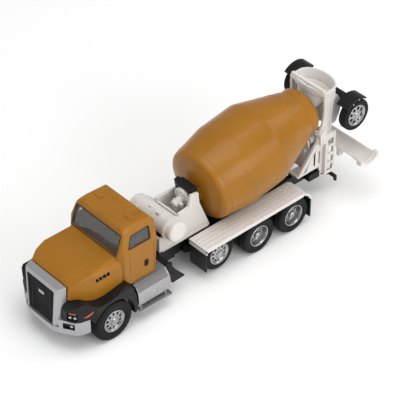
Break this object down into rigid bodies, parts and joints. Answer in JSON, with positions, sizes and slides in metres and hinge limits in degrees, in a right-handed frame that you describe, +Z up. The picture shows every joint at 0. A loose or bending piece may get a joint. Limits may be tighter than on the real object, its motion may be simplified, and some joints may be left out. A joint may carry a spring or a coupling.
{
  "type": "toy cement mixer truck",
  "caption": "Five-axle toy cement mixer truck with a turning drum, hopper, swinging chute, lowering tag axle and folding booster axle.",
  "frame": {"origin": "centre of the truck's bounding box at ground level, under the drive and front wheels' resting plane", "axes": "+X the way the truck drives, along its length; +Y the truck's left side; +Z up"},
  "size_m": [0.2032, 0.0594, 0.0702],
  "materials": {
    "ochre_paint": "satin",
    "white_plastic": "satin",
    "black_plastic": "matte",
    "dark_metal": "satin",
    "grey_plastic": "satin",
    "satin_silver": "satin",
    "steel": "brushed",
    "tyre_rubber": "matte",
    "tinted_glazing": "gloss",
    "lamp_clear": "gloss",
    "lamp_amber": "gloss",
    "lamp_red": "gloss"
  },
  "bodies": {
    "truck": {"frame_rails": "black_plastic", "rear_suspension": "black_plastic", "front_axle_beam": "black_plastic", "drivetrain": "dark_metal", "base_plate": "black_plastic", "base_screws": "steel", "cab_shell": "ochre_paint", "hood": "ochre_paint", "glazing": "tinted_glazing", "cab_interior": "black_plastic", "steering_wheel": "black_plastic", "door_handles": "black_plastic", "hood_vents": "black_plastic", "grille_surround": "satin_silver", "grille_mesh": "black_plastic", "bumper": "satin_silver", "fog_lamps": "black_plastic", "headlights": "lamp_clear", "marker_lights": "lamp_amber", "fender_left": "black_plastic", "fender_right": "black_plastic", "step_tank_left": "satin_silver", "step_tank_right": "satin_silver", "side_panels": "black_plastic", "water_tank": "white_plastic", "tank_fittings": "white_plastic", "front_pedestal": "white_plastic", "drum_gearbox": "black_plastic", "drum_motor": "grey_plastic", "rear_pedestal": "white_plastic", "hopper_supports": "white_plastic", "hopper": "white_plastic", "collector": "white_plastic", "ladder": "white_plastic", "deck_left": "white_plastic", "deck_right": "white_plastic", "mudflaps": "black_plastic", "rear_bumper": "black_plastic", "tail_lights": "lamp_red"},
    "drum": {"drum_shell": "ochre_paint", "drum_fins": "ochre_paint"},
    "roller_left": {"roller_left": "grey_plastic"},
    "roller_right": {"roller_right": "grey_plastic"},
    "front_wheels": {"front_rims": "satin_silver", "front_tyres": "tyre_rubber"},
    "lift_arm": {"lift_carrier": "black_plastic"},
    "lift_wheels": {"lift_rims": "satin_silver", "lift_tyres": "tyre_rubber"},
    "drive_wheels_1": {"drive_rims_1": "satin_silver", "drive_tyres_1": "tyre_rubber"},
    "drive_wheels_2": {"drive_rims_2": "satin_silver", "drive_tyres_2": "tyre_rubber"},
    "booster_arm": {"booster_frame": "black_plastic", "booster_fenders": "black_plastic"},
    "booster_wheel_left": {"booster_rim_left": "satin_silver", "booster_tyre_left": "tyre_rubber"},
    "booster_wheel_right": {"booster_rim_right": "satin_silver", "booster_tyre_right": "tyre_rubber"},
    "chute_swivel": {"chute_yoke": "white_plastic"},
    "chute": {"main_chute": "white_plastic"}
  },
  "joints": [
    {"name": "drum_spin", "type": "hinge", "parent": "truck", "child": "drum", "pos_m": [-0.0033, -0.00435, 0.0403], "axis": [0.985, 0, -0.1723], "continuous": true},
    {"name": "roller_left_spin", "type": "hinge", "parent": "truck", "child": "roller_left", "pos_m": [-0.07387, 0.0037, 0.03849], "axis": [0.985, 0, -0.1723], "continuous": true},
    {"name": "roller_right_spin", "type": "hinge", "parent": "truck", "child": "roller_right", "pos_m": [-0.07387, -0.0124, 0.03849], "axis": [0.985, 0, -0.1723], "continuous": true},
    {"name": "front_axle_spin", "type": "hinge", "parent": "truck", "child": "front_wheels", "pos_m": [0.0747, -0.00435, 0.0114], "axis": [0, 1, 0], "continuous": true},
    {"name": "lift_axle_swing", "type": "hinge", "parent": "truck", "child": "lift_arm", "pos_m": [0.0162, -0.00435, 0.0155], "axis": [0, -1, 0], "range_deg": [0, 5.5]},
    {"name": "lift_axle_spin", "type": "hinge", "parent": "lift_arm", "child": "lift_wheels", "pos_m": [0.0025, -0.00435, 0.0108], "axis": [0, 1, 0], "continuous": true},
    {"name": "drive_axle_1_spin", "type": "hinge", "parent": "truck", "child": "drive_wheels_1", "pos_m": [-0.0225, -0.00435, 0.0105], "axis": [0, 1, 0], "continuous": true},
    {"name": "drive_axle_2_spin", "type": "hinge", "parent": "truck", "child": "drive_wheels_2", "pos_m": [-0.0472, -0.00435, 0.0105], "axis": [0, 1, 0], "continuous": true},
    {"name": "booster_swing", "type": "hinge", "parent": "truck", "child": "booster_arm", "pos_m": [-0.0773, -0.01425, 0.0165], "axis": [0, -1, 0], "range_deg": [0, 78]},
    {"name": "booster_left_spin", "type": "hinge", "parent": "booster_arm", "child": "booster_wheel_left", "pos_m": [-0.0925, 0.01565, 0.0525], "axis": [0, 1, 0], "continuous": true},
    {"name": "booster_right_spin", "type": "hinge", "parent": "booster_arm", "child": "booster_wheel_right", "pos_m": [-0.0925, -0.02435, 0.0525], "axis": [0, 1, 0], "continuous": true},
    {"name": "chute_swing", "type": "hinge", "parent": "truck", "child": "chute_swivel", "pos_m": [-0.0928, -0.00435, 0.017], "axis": [0, 0, 1], "range_deg": [0, 135]},
    {"name": "chute_tilt", "type": "hinge", "parent": "chute_swivel", "child": "chute", "pos_m": [-0.0928, -0.00435, 0.0234], "axis": [-1, 0, 0], "range_deg": [0, 12]}
  ],
  "couplings": [
    {"joint": "roller_left_spin", "follows": "drum_spin", "ratio": -5.4},
    {"joint": "roller_right_spin", "follows": "drum_spin", "ratio": -5.4}
  ]
}
